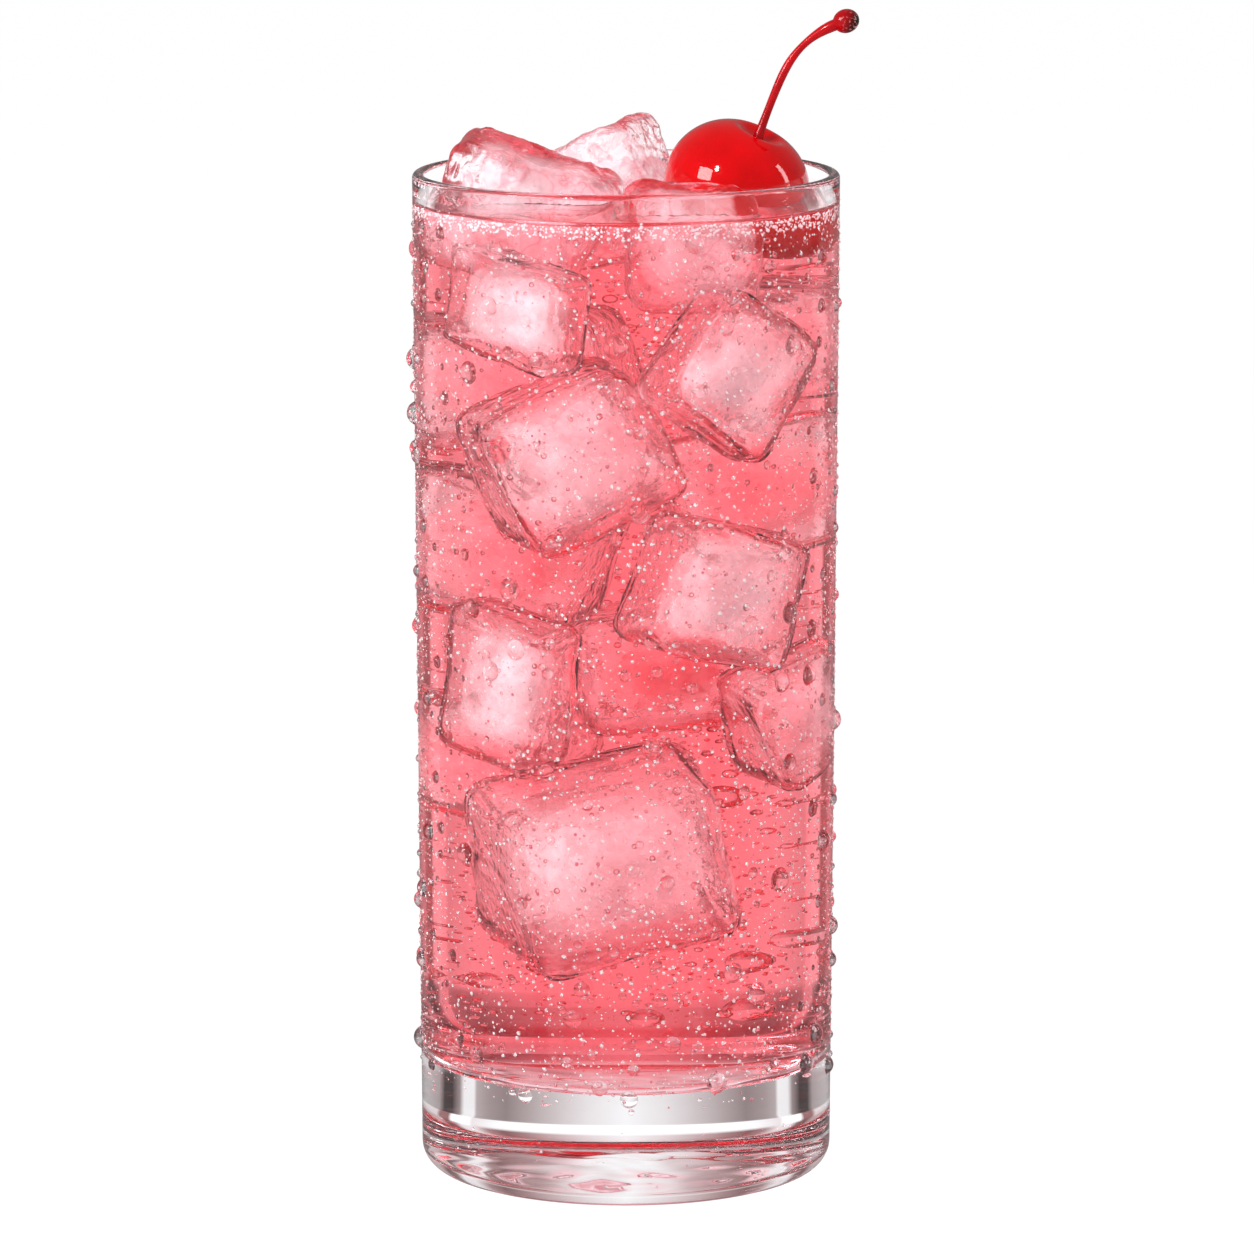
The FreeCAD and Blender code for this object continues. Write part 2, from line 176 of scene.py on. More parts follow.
scene.view_settings.view_transform = "Standard"
scene.cycles.max_bounces = 32
scene.cycles.transmission_bounces = 32
scene.cycles.transparent_max_bounces = 24
scene.cycles.glossy_bounces = 8
scene.cycles.diffuse_bounces = 2

world = bpy.data.worlds.new("studio")
world.use_nodes = True
scene.world = world
tree = world.node_tree
tree.nodes.clear()
place = coordinates(tree, "Generated")
aside = math_node(tree, "ABSOLUTE", place["X"])
along = math_node(tree, "ABSOLUTE", place["Y"])
angle = math_node(tree, "ARCTAN2", aside, along)
share = math_node(tree, "DIVIDE", angle, math.pi / 2)
rising = mapped(tree, place["Z"], *HORIZON)
overhead = mapped(tree, math_node(tree, "ABSOLUTE", place["Z"]), *STEEP)
rays = tree.nodes.new("ShaderNodeLightPath")
table = grey_ramp(tree, share, TABLE_GREYS, TABLE_PAINTED_REDDENING)
screen = grey_ramp(tree, share, SCREEN_GREYS, SCREEN_PAINTED_REDDENING)
through = mixed(tree, rising.outputs["Result"], table, screen)
through = mixed(tree, overhead.outputs["Result"], through, OVERHEAD)
seen = mixed(tree, rays.outputs["Is Glossy Ray"], AMBIENT, MIRRORED)
seen = mixed(tree, rays.outputs["Is Transmission Ray"], seen, through)
seen = mixed(tree, rays.outputs["Is Camera Ray"], seen, 1.0)
background = tree.nodes.new("ShaderNodeBackground")
link(tree, seen, background.inputs["Color"])
output = tree.nodes.new("ShaderNodeOutputWorld")
link(tree, background.outputs[0], output.inputs["Surface"])

# The floor is white paper.  Glass mirrors and bends the sweep behind it instead.
FLOOR_SIZE = 6.0
FLOOR_WHITE = 0.95
FLOOR_GLOW = 0.90               # share of the floor's white that doesn't take a shadow
GLOW_STRENGTH = 1.04
half = FLOOR_SIZE / 2
floor_mesh = bpy.data.meshes.new("floor")
corners = [(-half, -half, 0), (half, -half, 0), (half, half, 0), (-half, half, 0)]
floor_mesh.from_pydata(corners, [], [(0, 1, 2, 3)])
floor = bpy.data.objects.new("floor", floor_mesh)
scene.collection.objects.link(floor)


def new_material(name):
    """A material with an empty node tree and its output node."""
    material = bpy.data.materials.new(name)
    material.use_nodes = True
    material.node_tree.nodes.clear()
    return material, material.node_tree, material.node_tree.nodes.new("ShaderNodeOutputMaterial")


def blended(tree, factor, first, second):
    """A shader mixed from two."""
    node = tree.nodes.new("ShaderNodeMixShader")
    link(tree, factor, node.inputs["Fac"])
    link(tree, first.outputs[0], node.inputs[1])
    link(tree, second.outputs[0], node.inputs[2])
    return node


floor_paint, tree, output = new_material("floor_paint")
rays = tree.nodes.new("ShaderNodeLightPath")
bright = math_node(tree, "MULTIPLY", rays.outputs["Is Camera Ray"], FLOOR_GLOW)
mirrored, bent = rays.outputs["Is Glossy Ray"], rays.outputs["Is Transmission Ray"]
passing = math_node(tree, "MAXIMUM", mirrored, bent)
matt = tree.nodes.new("ShaderNodeBsdfDiffuse")
matt.inputs["Color"].default_value = (FLOOR_WHITE, FLOOR_WHITE, FLOOR_WHITE, 1)
glow = tree.nodes.new("ShaderNodeEmission")
glow.inputs["Strength"].default_value = GLOW_STRENGTH
clear = tree.nodes.new("ShaderNodeBsdfTransparent")
paper = blended(tree, passing, blended(tree, bright, matt, glow), clear)
link(tree, paper.outputs[0], output.inputs["Surface"])
floor_mesh.materials.append(floor_paint)

# A low card stands round the back, below the table top, with painted shade and light on it:
# greys by angle for the shade on the table and the studio's strips and dark cards, and lower
# down a painted pink glow of the light that comes through the drink.  From the front it is seen
# only through the thick base, which it gives its grey sides, and the lowest part of the drink.
CARD_RADIUS = 0.30
CARD_TOP = -0.040
CARD_SOFT = 0.004               # height over which its top edge fades
CARD_FOOT = -0.26
CARD_PAINTED_GLOW_TOP = -0.085              # the height at which the painted pink glow of light through the drink begins
CARD_PAINTED_GLOW_SOFT = 0.03           # height over which the painted glow comes in
CARD_PAINTED_GLOW = (0.95, 0.42, 0.48)
# how much the painted glow of the drink reddens the card's dark greys
CARD_PAINTED_REDDENING = 0.3
CARD_HALF_TURN = 80             # degrees to either side of straight behind
# painted shade by angle, with bright strips between the dark bands
CARD_PAINTED_SHADE = (
    (0, 0.97), (6, 0.84), (12, 0.62), (17, 0.45), (22, 0.30), (27, 0.38), (31, 0.50),
    (32, 0.94), (36, 0.94), (38, 0.34), (42, 0.06), (47, 0.07), (51, 0.45), (70, 0.8),
)
places = []
for step in range(CARD_HALF_TURN + 1):
    a = math.radians(2 * step - CARD_HALF_TURN)
    foot = (CARD_RADIUS * math.sin(a), CARD_RADIUS * math.cos(a))
    places += [(*foot, CARD_TOP), (*foot, CARD_FOOT)]
faces = [
    (2 * step, 2 * step + 2, 2 * step + 3, 2 * step + 1) for step in range(CARD_HALF_TURN)
]
card_mesh = bpy.data.meshes.new("card")
card_mesh.from_pydata(places, [], faces)
card = bpy.data.objects.new("card", card_mesh)
scene.collection.objects.link(card)
card.visible_camera = False
card.visible_diffuse = False
card.visible_glossy = False
card.visible_shadow = False
card_paint, tree, output = new_material("card_paint")
place = coordinates(tree, "Object")
aside = math_node(tree, "ABSOLUTE", place["X"])
angle = math_node(tree, "ARCTAN2", aside, place["Y"])
share = math_node(tree, "DIVIDE", angle, math.pi / 2)
# The painted shade by angle, reddened by a painted glow of the drink.
greys = grey_ramp(tree, share, CARD_PAINTED_SHADE, CARD_PAINTED_REDDENING)
# Lower down, a painted pink glow of the light that comes through the drink.
lower = mapped(tree, place["Z"], CARD_PAINTED_GLOW_TOP, CARD_PAINTED_GLOW_TOP - CARD_PAINTED_GLOW_SOFT)
pink = mixed(tree, lower.outputs["Result"], 1.0, CARD_PAINTED_GLOW)
shaded = tree.nodes.new("ShaderNodeVectorMath")
shaded.operation = "MULTIPLY"
link(tree, greys, shaded.inputs[0])
link(tree, pink, shaded.inputs[1])
glow = tree.nodes.new("ShaderNodeEmission")
link(tree, shaded.outputs[0], glow.inputs["Color"])
solid = mapped(tree, place["Z"], CARD_TOP, CARD_TOP - CARD_SOFT)
clear = tree.nodes.new("ShaderNodeBsdfTransparent")
faded = blended(tree, solid.outputs["Result"], clear, glow)
link(tree, faded.outputs[0], output.inputs["Surface"])
card_mesh.materials.append(card_paint)


LAMP_AIM = (0, 0, 0.13)         # the point high in the drink that the lamps face


def soft_box(name, place, width, height, watts):
    """A rectangular area lamp that faces the glass."""
    lamp = bpy.data.lights.new(name, "AREA")
    lamp.shape = "RECTANGLE"
    lamp.size = width
    lamp.size_y = height
    lamp.energy = watts
    holder = bpy.data.objects.new(name, lamp)
    holder.location = place
    aim = Vector(LAMP_AIM) - Vector(place)
    holder.rotation_euler = aim.to_track_quat("-Z", "Y").to_euler()
    scene.collection.objects.link(holder)


soft_box("key_box", (-0.90, -0.62, 0.66), 0.50, 0.40, 9.0)
soft_box("spark", (-0.50, -0.72, 0.84), 0.10, 0.16, 3.2)
soft_box("side_strip", (0.98, 0.02, 0.50), 0.14, 0.60, 2.5)


# ------------------------------------------------------------------------------ the glass
# One piece of pressed soda-lime glass with a thick base, fire-polished at the lip.  It is clear
# all through, so its only colour comes from what is in it.

MM = 0.001
RIM_WALL = 1.8 * MM
FOOT_WALL = 2.3 * MM
HEEL_CORNER = 3.8 * MM
BORE_CORNER = 4.0 * MM
FOOT_RING = 3.8 * MM
HOLLOW_DEPTH = 1.6 * MM
LIP_CORNER = 0.84 * MM
AROUND = 192                    # corners of a turned ring
DIMPLE_WAVE = 5 * MM            # the faint dimples under the base
DIMPLE_HEIGHT = 0.75 * MM
DIMPLE_LOWEST = 0.05 * MM
DIMPLE_FADE = 3 * MM            # width over which they fade towards the foot ring

glass_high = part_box("glass")[1]
drink_low, drink_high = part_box("drink")
rim_radius = glass_high.x
glass_top = glass_high.z
drink_floor = drink_low.z
foot_radius = max(
    math.hypot(vertex.co.x, vertex.co.y) for vertex in frame["nodes"]["glass"].data.vertices
    if abs(vertex.co.z - HEEL_CORNER) < 0.5 * MM
)
hollow_radius = foot_radius - HEEL_CORNER - FOOT_RING


def principled(tree, output, **values):
    """A Principled shader with plain values on its sockets, joined to the output."""
    shader = tree.nodes.new("ShaderNodeBsdfPrincipled")
    for name, value in values.items():
        shader.inputs[name.replace("_", " ")].default_value = value
    link(tree, shader.outputs[0], output.inputs["Surface"])
    return shader


def noise_group():
    """A shader node group: noise on Object coordinates, mapped between two values."""
    group = bpy.data.node_groups.new("object_noise", "ShaderNodeTree")
    for name in ("Scale", "Detail", "Low", "High"):
        group.interface.new_socket(name, in_out="INPUT", socket_type="NodeSocketFloat")
    group.interface.new_socket("Value", in_out="OUTPUT", socket_type="NodeSocketFloat")
    given = group.nodes.new("NodeGroupInput").outputs
    result = group.nodes.new("NodeGroupOutput")
    coords = group.nodes.new("ShaderNodeTexCoord")
    texture = group.nodes.new("ShaderNodeTexNoise")
    link(group, coords.outputs["Object"], texture.inputs["Vector"])
    link(group, given["Scale"], texture.inputs["Scale"])
    link(group, given["Detail"], texture.inputs["Detail"])
    spread = mapped(group, texture.outputs["Fac"], 0.3, 0.7)
    link(group, given["Low"], spread.inputs["To Min"])
    link(group, given["High"], spread.inputs["To Max"])
    link(group, spread.outputs["Result"], result.inputs["Value"])
    return group


NOISE = noise_group()


def object_noise(tree, scale, detail, low, high):
    """The noise group placed in a material, with its four values set."""
    node = tree.nodes.new("ShaderNodeGroup")
    node.node_tree = NOISE
    for name, value in zip(("Scale", "Detail", "Low", "High"), (scale, detail, low, high)):
        node.inputs[name].default_value = value
    return node.outputs["Value"]


def relief(tree, shader, strength, depth, height):
    """Fine relief on a shader, of a strength and a depth, from the height given."""
    node = tree.nodes.new("ShaderNodeBump")
    node.inputs["Strength"].default_value = strength
    node.inputs["Distance"].default_value = depth
    link(tree, height, node.inputs["Height"])
    link(tree, node.outputs[0], shader.inputs["Normal"])


def wall_radius(z):
    """Radius of the outside of the glass at a height; it widens evenly from the heel up."""
    return foot_radius + (rim_radius - foot_radius) * (z - HEEL_CORNER) / (glass_top - HEEL_CORNER)


def bore_radius(z):
    """Radius of the bore at a height; it widens evenly from its corner to the mouth."""
    foot, mouth = foot_radius - FOOT_WALL, rim_radius - RIM_WALL
    corner = drink_floor + BORE_CORNER
    return foot + (mouth - foot) * (z - corner) / (glass_top - corner)


def arc(centre, radius, start, stop, steps):
    """Points of an arc from one angle in degrees to another, both ends included."""
    angles = [math.radians(start + (stop - start) * step / steps) for step in range(steps + 1)]
    return [(centre[0] + radius * math.cos(a), centre[1] + radius * math.sin(a)) for a in angles]


def glass_outline():
    """From the middle of the underside out, up the wall, over the lip and down to the floor."""
    points = []
    for step in range(27):
        radius = hollow_radius * step / 26
        points.append((radius, HOLLOW_DEPTH * (1 - (radius / hollow_radius) ** 2)))
    points.append((hollow_radius + FOOT_RING / 2, 0.0))
    points += arc((foot_radius - HEEL_CORNER, HEEL_CORNER), HEEL_CORNER, -90, 0, 12)
    lip = glass_top - LIP_CORNER
    for step in range(1, 30):
        z = HEEL_CORNER + (lip - HEEL_CORNER) * step / 30
        points.append((wall_radius(z), z))
    points += arc((wall_radius(lip) - LIP_CORNER, lip), LIP_CORNER, 0, 90, 8)
    points += arc((bore_radius(lip) + LIP_CORNER, lip), LIP_CORNER, 90, 180, 8)
    corner = drink_floor + BORE_CORNER
    for step in range(1, 30):
        z = lip + (corner - lip) * step / 30
        points.append((bore_radius(z), z))
    inside = bore_radius(corner) - BORE_CORNER
    points += arc((inside, corner), BORE_CORNER, 0, -90, 12)
    points += [(inside * (1 - step / 12), drink_floor) for step in range(1, 13)]
    return points


def lathe(name, outline):
    """A closed solid turned from an outline of (radius, height) with both ends on the axis."""
    spun = bmesh.new()
    rings = []
    turns = [2 * math.pi * step / AROUND for step in range(AROUND)]
    for radius, height in outline[1:-1]:
        ring = [(radius * math.cos(a), radius * math.sin(a), height) for a in turns]
        rings.append([spun.verts.new(place) for place in ring])
    first = spun.verts.new((0, 0, outline[0][1]))
    last = spun.verts.new((0, 0, outline[-1][1]))
    for step in range(AROUND):
        after = (step + 1) % AROUND
        spun.faces.new((first, rings[0][after], rings[0][step]))
        spun.faces.new((last, rings[-1][step], rings[-1][after]))
        for ring, outer in zip(rings, rings[1:]):
            spun.faces.new((ring[step], ring[after], outer[after], outer[step]))
    bmesh.ops.recalc_face_normals(spun, faces=spun.faces[:])
    mesh = bpy.data.meshes.new(name)
    spun.to_mesh(mesh)
    spun.free()
    return mesh


def wave(point, length, seed):
    """Smooth noise between -1 and 1 at a point, for waves of about one length."""
    return noise.noise(point / length + Vector((seed * 7.31, seed * 3.17, seed * 1.73)))


def new_piece(name, mesh, material, casts_shadow=False):
    """A smooth-shaded object at the origin for a finished mesh.  Clear ones let lamplight by."""
    piece = bpy.data.objects.new(name, mesh)
    piece.visible_shadow = casts_shadow
    scene.collection.objects.link(piece)
    mesh.materials.clear()
    mesh.materials.append(material)
    mesh.polygons.foreach_set("use_smooth", [True] * len(mesh.polygons))
    return piece


def let_lamps_through(tree, output, shader):
    """Lets lamplight pass a clear surface, which would stop it otherwise."""
    rays = tree.nodes.new("ShaderNodeLightPath")
    clear = tree.nodes.new("ShaderNodeBsdfTransparent")
    clear.inputs["Color"].default_value = (0.96, 0.96, 0.96, 1)
    either = blended(tree, rays.outputs["Is Shadow Ray"], shader, clear)
    link(tree, either.outputs[0], output.inputs["Surface"])


clear_glass, tree, output = new_material("clear_glass")
# The drink lies against the inside of the wall, so the wall mirrors less than glass in air does.
shader = principled(tree, output, Roughness=0.0, IOR=1.5, Transmission_Weight=1.0,
                    Specular_Tint=(0.6, 0.6, 0.6, 1))
let_lamps_through(tree, output, shader)
clear_tint = mixed(tree, object_noise(tree, 30.0, 1.0, 0.0, 1.0), 1.0, 0.98)
link(tree, clear_tint, shader.inputs["Base Color"])
relief(tree, shader, 0.06, 0.2 * MM, object_noise(tree, 60.0, 1.0, 0.0, 1.0))

glass_mesh = lathe("glass", glass_outline())
# The underside keeps the faint dimples of the plunger that pressed it.
for vertex in glass_mesh.vertices:
    radius = math.hypot(vertex.co.x, vertex.co.y)
    fade = min(max((hollow_radius - radius) / DIMPLE_FADE, 0.0), 1.0)
    if vertex.co.z < HOLLOW_DEPTH + 0.1 * MM and fade > 0:
        lift = DIMPLE_HEIGHT * fade * wave(vertex.co, DIMPLE_WAVE, 17)
        vertex.co.z = max(vertex.co.z + lift, DIMPLE_LOWEST)
glass = new_piece("tall_glass", glass_mesh, clear_glass, casts_shadow=True)
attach(glass, "root")
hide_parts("glass")


# ------------------------------------------------------------------------------ the ice
# Clear ice from a tray, melting: each block has rounded edges that the drink has eaten into
# ripples, a few dents, and a cloudy heart.  Three blocks float and the others hang below them.

BROAD_WAVE = 11 * MM            # lengths of the waves that melting leaves on a sunk block
RIDGE_WAVE = 2.9 * MM
GRAIN_WAVE = 1.2 * MM
BROAD_HEIGHT = 0.85 * MM        # and their heights
RIDGE_HEIGHT = 0.27 * MM
GRAIN_HEIGHT = 0.12 * MM
FLOATING_WAVE = 7 * MM          # the same on a floating block
FLOATING_HEIGHT = 0.45 * MM
FLOATING_RIDGE = 0.14 * MM
FLOATING_EDGE_RIDGE = 0.26 * MM
FLOATING_GRAIN = 0.10 * MM
VOXEL = 0.40 * MM               # fineness of a remeshed floating block
TAPER = 0.06                    # how much wider than its middle a block is at its top
HOLLOW_SHRINK = 0.35 * MM       # how much smaller than its block a hollow in the drink is
HEART_SHRINK = 0.1 * MM
HEART_ROUNDING = 0.48
HEART_CELLS = 12


def melted_block(size, middle, turn, seed, cells, shrink=0.0, rounding=0.20):
    """A melted block as a closed mesh.  A shrunken one has no ripples: a hollow or a heart."""
    half = Vector(size) * (MM / 2)
    soft = rounding * min(size) * MM
    core = half - Vector((soft, soft, soft))
    shell = bmesh.new()
    bmesh.ops.create_cube(shell, size=2.0)
    bmesh.ops.subdivide_edges(shell, edges=shell.edges[:], cuts=cells - 1, use_grid_fill=True)
    edge = shell.verts.layers.float.new("edge")
    pose = Matrix.Translation(Vector(middle) * MM)
    for angle, axis in zip((turn[2], turn[1], turn[0]), "ZYX"):
        pose = pose @ Matrix.Rotation(math.radians(angle), 4, axis)
    for vertex in shell.verts:
        taper = 1.0 + TAPER * vertex.co.z
        across = (vertex.co.x * half.x * taper, vertex.co.y * half.y * taper)
        reach = Vector((*across, vertex.co.z * half.z))
        inner = Vector([max(-c, min(c, v)) for v, c in zip(reach, core)])
        out = (reach - inner).normalized()
        over = [min(abs(v - w) / soft, 1.0) for v, w in zip(reach, inner)]
        run = over.index(min(over))
        rounded = sorted(over)[1]
        vertex[edge] = rounded
        flat = inner + out * (soft - shrink)
        lift = BROAD_HEIGHT * wave(flat, BROAD_WAVE, seed)
        if not shrink:
            drawn_out = flat.copy()
            drawn_out[run] *= 0.28
            ridges = 1.0 - 2.6 * abs(wave(drawn_out, RIDGE_WAVE, seed + 5))
            grain = wave(flat, GRAIN_WAVE, seed + 9)
            strength = 0.30 + 1.0 * min(rounded * 1.6, 1.0)
            lift += strength * (RIDGE_HEIGHT * ridges + GRAIN_HEIGHT * grain)
        vertex.co = pose @ (flat + out * lift)
    mesh = bpy.data.meshes.new("block")
    shell.to_mesh(mesh)
    shell.free()
    return mesh


def evaluated(thing):
    """The mesh of an object with its modifiers applied."""
    return bpy.data.meshes.new_from_object(
        thing.evaluated_get(bpy.context.evaluated_depsgraph_get()))


def floating_block(node, seed):
    """A CAD block melted in the same way: remeshed finely enough to take ripples."""
    welded = bmesh.new()
    welded.from_mesh(frame["nodes"][node].data)
    bmesh.ops.remove_doubles(welded, verts=welded.verts[:], dist=0.002 * MM)
    mesh = bpy.data.meshes.new(node)
    welded.to_mesh(mesh)
    welded.free()
    block = bpy.data.objects.new("remeshed", mesh)
    scene.collection.objects.link(block)
    voxels = block.modifiers.new("voxels", "REMESH")
    voxels.mode = "VOXEL"
    voxels.voxel_size = VOXEL
    smooth = block.modifiers.new("smooth", "SMOOTH")
    smooth.iterations = 5
    remeshed = evaluated(block)
    bpy.data.objects.remove(block)
    low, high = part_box(node)
    middle = (low + high) / 2
    edge = remeshed.attributes.new("edge", "FLOAT", "POINT")
    places = []
    for index, vertex in enumerate(remeshed.vertices):
        from_middle = vertex.co - middle
        rounded = (0.93 - from_middle.normalized().dot(vertex.normal)) * 3.0
        rounded = min(max(rounded, 0.0), 1.0)
        edge.data[index].value = rounded
        drawn_out = vertex.co - vertex.normal * from_middle.dot(vertex.normal) * 0.5
        ridges = 1.0 - 2.2 * abs(wave(drawn_out, RIDGE_WAVE, seed + 5))
        lift = FLOATING_HEIGHT * wave(vertex.co, FLOATING_WAVE, seed)
        lift += FLOATING_GRAIN * wave(vertex.co, GRAIN_WAVE, seed + 9)
        lift += (FLOATING_RIDGE + FLOATING_EDGE_RIDGE * rounded) * ridges
        places.append(vertex.co + vertex.normal * lift)
    for vertex, place in zip(remeshed.vertices, places):
        vertex.co = place
    remeshed.update()
    return remeshed


def grown(mesh, distance):
    """A copy of a mesh with every vertex moved out along its normal."""
    copy = mesh.copy()
    places = [vertex.co + vertex.normal * distance for vertex in copy.vertices]
    for vertex, place in zip(copy.vertices, places):
        vertex.co = place
    copy.update()
    return copy


def joined(name, meshes, flip=False):
    """One mesh of several, turned inside out if asked."""
    whole = bmesh.new()
    for mesh in meshes:
        whole.from_mesh(mesh)
    if flip:
        bmesh.ops.reverse_faces(whole, faces=whole.faces[:])
    result = bpy.data.meshes.new(name)
    whole.to_mesh(result)
    whole.free()
    return result


def ice_material(name, clear_colour, vein_colour, roughness):
    """Wet ice: clear, a little frosted, with thin veins that hold some of the drink."""
    material, tree, output = new_material(name)
    shader = principled(tree, output, IOR=1.295, Transmission_Weight=1.0)
    folds = math_node(tree, "ABSOLUTE", object_noise(tree, 210.0, 2.0, -1.0, 1.0))
    between = mapped(tree, folds, 0.02, 0.15)
    veined = mixed(tree, between.outputs["Result"], vein_colour, clear_colour)
    link(tree, veined, shader.inputs["Base Color"])
    link(tree, object_noise(tree, 420.0, 2.0, 0.0, roughness), shader.inputs["Roughness"])
    relief(tree, shader, 0.25, 0.25 * MM, object_noise(tree, 700.0, 3.0, 0.0, 1.0))
    return material


floating_ice = ice_material("floating_ice", (1.0, 0.95, 0.96), (0.93, 0.46, 0.52), 0.02)
sunk_ice = ice_material("sunk_ice", (1.0, 1.0, 1.0), (1.0, 0.86, 0.88), 0.06)

# The hearts are thin shells of cloud that fade where they are seen edge on.
cloud, tree, output = new_material("cloud")
shader = principled(tree, output, Base_Color=(0.90, 0.68, 0.72, 1), Roughness=0.9, IOR=1.0)
facing = tree.nodes.new("ShaderNodeLayerWeight")
facing.inputs["Blend"].default_value = 0.5
inward = math_node(tree, "SUBTRACT", 1.0, facing.outputs["Facing"])
cloudy = math_node(tree, "MULTIPLY", object_noise(tree, 260.0, 4.0, 0.08, 0.62), inward)
link(tree, cloudy, shader.inputs["Alpha"])

floating = {}
sunk = {}
hollows = []
hearts = []


def add_heart(size, middle, turn, seed):
    """One shell of a cloudy heart, in millimetres."""
    shell = melted_block(size, middle, turn, seed, HEART_CELLS, HEART_SHRINK, HEART_ROUNDING)
    hearts.append(shell)


def float_block(node, seed, heart):
    """A floating block and its cloudy heart in two shells, the inner one lower."""
    floating[node] = floating_block(node, seed)
    low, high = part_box(node)
    for share, drop in ((heart, 0.0), (0.72 * heart, 0.14)):
        part = [share * length / MM for length in (high - low)]
        middle = ((low + high) / 2 - Vector((0, 0, drop * (high.z - low.z)))) / MM
        add_heart(part, middle, (0, 12, 20), seed + 80)


def sink_block(name, size, middle, turn, cells=20):
    """A sunk block in millimetres, turned about X, Y and Z, its hollow and its cloudy heart."""
    seed = len(sunk)
    sunk[name] = melted_block(size, middle, turn, seed, cells)
    hollows.append(melted_block(size, middle, turn, seed, 14, shrink=HOLLOW_SHRINK))
    for share, aside in ((0.80, 0.02), (0.52, 0.07)):
        part = [share * length for length in size]
        shift = (aside * size[0], -aside * size[1], -aside * size[2])
        place = [at + by for at, by in zip(middle, shift)]
        add_heart(part, place, turn, seed + 60)


float_block("ice_left", 41, heart=0.74)
float_block("ice_back", 42, heart=0.66)
float_block("ice_front", 43, heart=0.78)
sink_block("front_under_left", (20, 9.5, 15), (-15.0, -16.4, 133.8), (0, 12, -42), 38)
sink_block("front_under_right", (20, 11, 20), (14.6, -16.8, 124.5), (0, 36, 40), 40)
sink_block("front_upper", (24, 18, 22), (-7.5, -13.5, 111.5), (6, -27, 12), 46)
sink_block("front_right", (22, 14, 20), (12.6, -15.6, 91.5), (5, 16, 34), 44)
sink_block("front_left", (17, 12, 22), (-15.8, -13.6, 77.0), (5, 12, -44), 40)
sink_block("front_lowest", (30, 22, 27), (-3.0, -10.0, 50.0), (17, -14, 14), 54)
sink_block("back_right", (15, 15, 18), (20.0, 2.5, 70.0), (14, -20, 35), 24)
sink_block("back_top_left", (22, 18, 19), (-11.0, 13.5, 120.5), (4, -12, -20))
sink_block("back_top_right", (17, 15, 16), (15.0, 11.5, 126.5), (10, 8, 24))
sink_block("back_middle_right", (19, 17, 20), (13.0, 14.5, 103.5), (-9, -14, 16))
sink_block("back_middle_left", (20, 16, 21), (-12.0, 14.5, 94.0), (7, 16, -24))
sink_block("back_low", (18, 15, 18), (3.5, 17.5, 76.5), (12, -9, 8))
sink_block("back_low_left", (17, 13, 17), (-13.5, 15.5, 61.0), (-6, 14, -30))

cloudy_hearts = new_piece("cloudy_hearts", joined("cloudy_hearts", hearts), cloud)
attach(cloudy_hearts, "root")
for node, mesh in floating.items():
    block = new_piece(f"melting_{node}", mesh.copy(), floating_ice)
    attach(block, "root")
    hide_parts(node)
for side in ("front", "back"):
    some = [mesh for name, mesh in sunk.items() if name.startswith(side)]
    blocks = new_piece(f"sunk_ice_{side}", joined(f"sunk_ice_{side}", some), sunk_ice)
    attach(blocks, "root")


# ------------------------------------------------------------------------------ the drink
# Gin, lemon and a red syrup topped up with soda: clear and pink.  It fills the bore, reaches a
# hair into the wall so that no air gap shows, and has a hollow for each block of ice.

INTO_WALL = 0.25 * MM
ICE_SKIN = 0.12 * MM            # how far the floating ice reaches into the drink around it
CLIMB = 0.9 * MM                # how far the drink climbs the wall
ICE_CLIMB = 0.75 * MM           # how far it climbs the ice and the cherry
CLIMB_REACH = 0.9 * MM          # distance over which a climb falls off
SWAY = 0.12 * MM
SWAY_WAVE = 9 * MM
TOP_RINGS = 64
MENISCUS = 0.4 * MM             # how far the edge of the CAD drink stands above its level

drink_level = drink_high.z - MENISCUS


def drink_outline():
    """From the middle of the floor out, up the wall and in over the surface."""
    foot = bore_radius(drink_floor + BORE_CORNER) + INTO_WALL
    floor = drink_floor - INTO_WALL
    points = [(foot * 0.45 * step, floor) for step in range(2)]
    points += arc((foot - BORE_CORNER, floor + BORE_CORNER), BORE_CORNER, -90, 0, 12)
    top = drink_level + CLIMB
    for below in (125, 110, 90, 70, 50, 30, 15, 7, 3, 1.5, 0.7, 0.3, 0.1, 0.03):
        z = top - below * MM
        points.append((bore_radius(z) + INTO_WALL, z))
    wall = bore_radius(top) + INTO_WALL
    points.append((wall - 0.03 * MM, top))
    for step in range(1, TOP_RINGS + 1):
        points.append((wall * (1 - (step / TOP_RINGS) ** 1.15), drink_level))
    return points


drink_mesh = lathe("drink", drink_outline())
garnish_surface = bmesh.new()
for mesh in (*floating.values(), frame["nodes"]["cherry"].data):
    garnish_surface.from_mesh(mesh)
garnish_tree = BVHTree.FromBMesh(garnish_surface)
garnish_surface.free()
for vertex in drink_mesh.vertices:
    radius = math.hypot(vertex.co.x, vertex.co.y)
    if abs(vertex.co.z - drink_level) > 0.01 * MM or radius > bore_radius(drink_level) + 0.2 * MM:
        continue
    from_wall = max(bore_radius(drink_level) - radius, 0.0)
    to_garnish = garnish_tree.find_nearest(Vector((vertex.co.x, vertex.co.y, drink_level)))[3]
    climb = CLIMB * math.exp(-from_wall / CLIMB_REACH)
    climb += ICE_CLIMB * math.exp(-to_garnish / CLIMB_REACH)
    vertex.co.z = drink_level + climb + SWAY * wave(vertex.co, SWAY_WAVE, 3)
drink_mesh.update()

